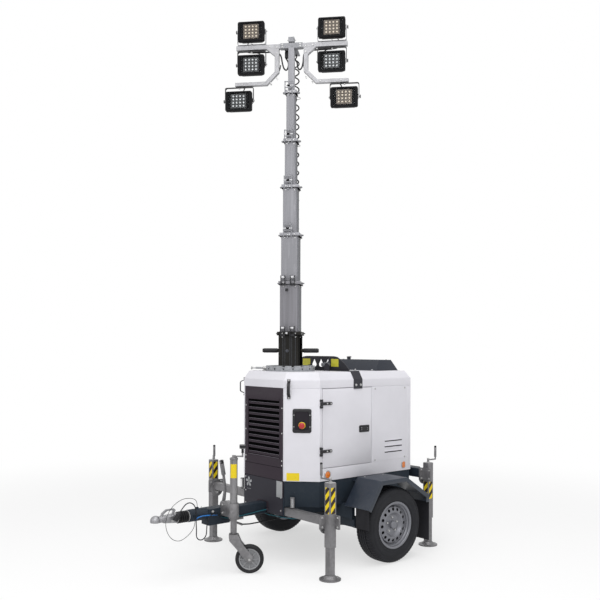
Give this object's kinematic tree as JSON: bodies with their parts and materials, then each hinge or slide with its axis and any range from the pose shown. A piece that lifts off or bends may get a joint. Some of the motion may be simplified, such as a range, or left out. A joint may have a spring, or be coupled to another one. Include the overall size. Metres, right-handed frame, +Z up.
{
  "type": "mobile light tower",
  "caption": "Towed light tower: white canopy on a single-axle trailer, telescopic mast with a cranked lamp frame and tilting floodlights, screw jacks and jockey wheel.",
  "frame": {"origin": "on the ground, under the middle of the part's outline", "axes": "+X forward to the coupling, +Y to the trailer's left, +Z up"},
  "size_m": [2.4717, 1.682, 4.388],
  "materials": {
    "tyre": "moulded black rubber",
    "rim_silver": "silver wheel paint",
    "jockey_rubber": "solid rubber tread on a steel hub",
    "galvanised": "hot-dip galvanised steel",
    "mast_black": "black powder coat",
    "mast_silver": "galvanised steel",
    "lamp_black": "black powder-coated die casting",
    "canopy_white": "off-white powder coat",
    "panel_dark": "dark grey powder coat",
    "chassis_dark": "dark blue-grey paint",
    "mudguard_grey": "blue-grey textured paint",
    "rubber_black": "black rubber",
    "trim_black": "black powder coat",
    "cast_silver": "zinc-plated casting",
    "ring_grey": "grey painted steel",
    "engine_grey": "painted cast iron",
    "amber_lens": "amber and red lens plastic",
    "cable_black": "black cable sheath",
    "cable_steel": "thin steel wire rope"
  },
  "bodies": {
    "chassis": {"axle": "chassis_dark", "base_tub": "chassis_dark", "breakaway_cable": "cable_steel", "canopy_corners": "canopy_white", "canopy_roof": "canopy_white", "canopy_walls": "canopy_white", "chassis_rails": "chassis_dark", "coupling_head": "cast_silver", "cross_members": "chassis_dark", "door_hinges": "trim_black", "drawbar": "chassis_dark", "drawbar_fittings": "galvanised", "engine_block": "engine_grey", "exhaust_cover": "panel_dark", "front_panel": "panel_dark", "grab_handles": "trim_black", "index_ring": "ring_grey", "jockey_tube": "galvanised", "lifting_beam": "trim_black", "mudflaps": "rubber_black", "mudguards": "mudguard_grey", "overrun_gaiter": "rubber_black", "overrun_housing": "chassis_dark", "road_lights": "amber_lens", "stop_button": "trim_black", "trailer_cable": "cable_black", "trailer_plug": "cable_black"},
    "wheel_left": {"tyre_left": "tyre", "rim_left": "rim_silver"},
    "wheel_right": {"tyre_right": "tyre", "rim_right": "rim_silver"},
    "door_left": {"door_left": "canopy_white"},
    "door_right": {"door_right": "canopy_white"},
    "jockey_leg": {"jockey_leg": "galvanised"},
    "jockey_fork": {"jockey_fork": "galvanised"},
    "jockey_wheel": {"jockey_wheel": "jockey_rubber"},
    "outrigger_front_left": {"outrigger_front_left": "galvanised"},
    "jack_leg_front_left": {"jack_leg_front_left": "galvanised"},
    "outrigger_front_right": {"outrigger_front_right": "galvanised"},
    "jack_leg_front_right": {"jack_leg_front_right": "galvanised"},
    "outrigger_rear_left": {"outrigger_rear_left": "galvanised"},
    "jack_leg_rear_left": {"jack_leg_rear_left": "galvanised"},
    "outrigger_rear_right": {"outrigger_rear_right": "galvanised"},
    "jack_leg_rear_right": {"jack_leg_rear_right": "galvanised"},
    "mast_0": {"mast_section_0": "mast_black"},
    "mast_1": {"mast_section_1": "mast_silver"},
    "mast_2": {"mast_section_2": "mast_silver"},
    "mast_3": {"mast_section_3": "mast_silver"},
    "mast_4": {"mast_section_4": "mast_silver"},
    "mast_5": {"mast_section_5": "mast_silver"},
    "mast_6": {"mast_section_6": "mast_silver", "lamp_frame": "mast_silver", "mast_cable": "cable_black"},
    "lamp_bottom_left": {"lamp_bottom_left": "lamp_black"},
    "lamp_bottom_right": {"lamp_bottom_right": "lamp_black"},
    "lamp_middle_left": {"lamp_middle_left": "lamp_black"},
    "lamp_middle_right": {"lamp_middle_right": "lamp_black"},
    "lamp_top_left": {"lamp_top_left": "lamp_black"},
    "lamp_top_right": {"lamp_top_right": "lamp_black"}
  },
  "joints": [
    {"name": "wheel_left_spin", "type": "hinge", "parent": "chassis", "child": "wheel_left", "pos_m": [-0.501, 0.681, 0.297], "axis": [0, 1, 0], "continuous": true},
    {"name": "door_left_hinge", "type": "hinge", "parent": "chassis", "child": "door_left", "pos_m": [0.024, 0.473, 1.07], "axis": [0, 0, -1], "range_deg": [0, 100]},
    {"name": "wheel_right_spin", "type": "hinge", "parent": "chassis", "child": "wheel_right", "pos_m": [-0.501, -0.681, 0.297], "axis": [0, 1, 0], "continuous": true},
    {"name": "door_right_hinge", "type": "hinge", "parent": "chassis", "child": "door_right", "pos_m": [0.024, -0.473, 1.07], "axis": [0, 0, 1], "range_deg": [0, 100]},
    {"name": "outrigger_front_left_slide", "type": "slide", "parent": "chassis", "child": "outrigger_front_left", "axis": [0, 1, 0], "range_m": [-0.23, 0]},
    {"name": "jack_front_left_lift", "type": "slide", "parent": "outrigger_front_left", "child": "jack_leg_front_left", "axis": [0, 0, 1], "range_m": [0, 0.195]},
    {"name": "outrigger_front_right_slide", "type": "slide", "parent": "chassis", "child": "outrigger_front_right", "axis": [0, -1, 0], "range_m": [-0.23, 0]},
    {"name": "jack_front_right_lift", "type": "slide", "parent": "outrigger_front_right", "child": "jack_leg_front_right", "axis": [0, 0, 1], "range_m": [0, 0.195]},
    {"name": "outrigger_rear_left_slide", "type": "slide", "parent": "chassis", "child": "outrigger_rear_left", "axis": [0, 1, 0], "range_m": [0, 0.25]},
    {"name": "jack_rear_left_lift", "type": "slide", "parent": "outrigger_rear_left", "child": "jack_leg_rear_left", "axis": [0, 0, 1], "range_m": [0, 0.195]},
    {"name": "outrigger_rear_right_slide", "type": "slide", "parent": "chassis", "child": "outrigger_rear_right", "axis": [0, -1, 0], "range_m": [0, 0.25]},
    {"name": "jack_rear_right_lift", "type": "slide", "parent": "outrigger_rear_right", "child": "jack_leg_rear_right", "axis": [0, 0, 1], "range_m": [0, 0.195]},
    {"name": "jockey_lift", "type": "slide", "parent": "chassis", "child": "jockey_leg", "axis": [0, 0, 1], "range_m": [0, 0.1]},
    {"name": "jockey_swivel", "type": "hinge", "parent": "jockey_leg", "child": "jockey_fork", "pos_m": [0.636, 0.175, 0.28], "axis": [0, 0, 1], "continuous": true},
    {"name": "jockey_wheel_spin", "type": "hinge", "parent": "jockey_fork", "child": "jockey_wheel", "pos_m": [0.5422, 0.24984, 0.107], "axis": [-0.6237, -0.7817, 0], "continuous": true},
    {"name": "mast_turn", "type": "hinge", "parent": "chassis", "child": "mast_0", "pos_m": [-0.051, 0, 1], "axis": [0, 0, 1], "range_deg": [-170, 170]},
    {"name": "mast_slide_1", "type": "slide", "parent": "mast_0", "child": "mast_1", "axis": [0, 0, 1], "range_m": [-0.32, 0.68]},
    {"name": "mast_slide_2", "type": "slide", "parent": "mast_1", "child": "mast_2", "axis": [0, 0, 1], "range_m": [-0.32, 0.68]},
    {"name": "mast_slide_3", "type": "slide", "parent": "mast_2", "child": "mast_3", "axis": [0, 0, 1], "range_m": [-0.32, 0.68]},
    {"name": "mast_slide_4", "type": "slide", "parent": "mast_3", "child": "mast_4", "axis": [0, 0, 1], "range_m": [-0.32, 0.68]},
    {"name": "mast_slide_5", "type": "slide", "parent": "mast_4", "child": "mast_5", "axis": [0, 0, 1], "range_m": [-0.32, 0.68]},
    {"name": "mast_slide_6", "type": "slide", "parent": "mast_5", "child": "mast_6", "axis": [0, 0, 1], "range_m": [-0.32, 0.68], "deforming": ["mast_cable"]},
    {"name": "lamp_top_left_tilt", "type": "hinge", "parent": "mast_6", "child": "lamp_top_left", "pos_m": [-0.27382, 0.24747, 4.296], "axis": [-0.6691, 0.7431, 0], "range_deg": [-45, 45]},
    {"name": "lamp_top_right_tilt", "type": "hinge", "parent": "mast_6", "child": "lamp_top_right", "pos_m": [0.17182, -0.24747, 4.296], "axis": [-0.6691, 0.7431, 0], "range_deg": [-45, 45]},
    {"name": "lamp_middle_left_tilt", "type": "hinge", "parent": "mast_6", "child": "lamp_middle_left", "pos_m": [-0.27382, 0.24747, 4.022], "axis": [-0.6691, 0.7431, 0], "range_deg": [-45, 45]},
    {"name": "lamp_middle_right_tilt", "type": "hinge", "parent": "mast_6", "child": "lamp_middle_right", "pos_m": [0.17182, -0.24747, 4.022], "axis": [-0.6691, 0.7431, 0], "range_deg": [-45, 45]},
    {"name": "lamp_bottom_left_tilt", "type": "hinge", "parent": "mast_6", "child": "lamp_bottom_left", "pos_m": [-0.34274, 0.32401, 3.727], "axis": [-0.6691, 0.7431, 0], "range_deg": [-45, 45]},
    {"name": "lamp_bottom_right_tilt", "type": "hinge", "parent": "mast_6", "child": "lamp_bottom_right", "pos_m": [0.24074, -0.32401, 3.727], "axis": [-0.6691, 0.7431, 0], "range_deg": [-45, 45]}
  ],
  "couplings": [
    {"joint": "mast_slide_2", "follows": "mast_slide_1", "ratio": 1},
    {"joint": "mast_slide_3", "follows": "mast_slide_1", "ratio": 1},
    {"joint": "mast_slide_4", "follows": "mast_slide_1", "ratio": 1},
    {"joint": "mast_slide_5", "follows": "mast_slide_1", "ratio": 1},
    {"joint": "mast_slide_6", "follows": "mast_slide_1", "ratio": 1}
  ]
}
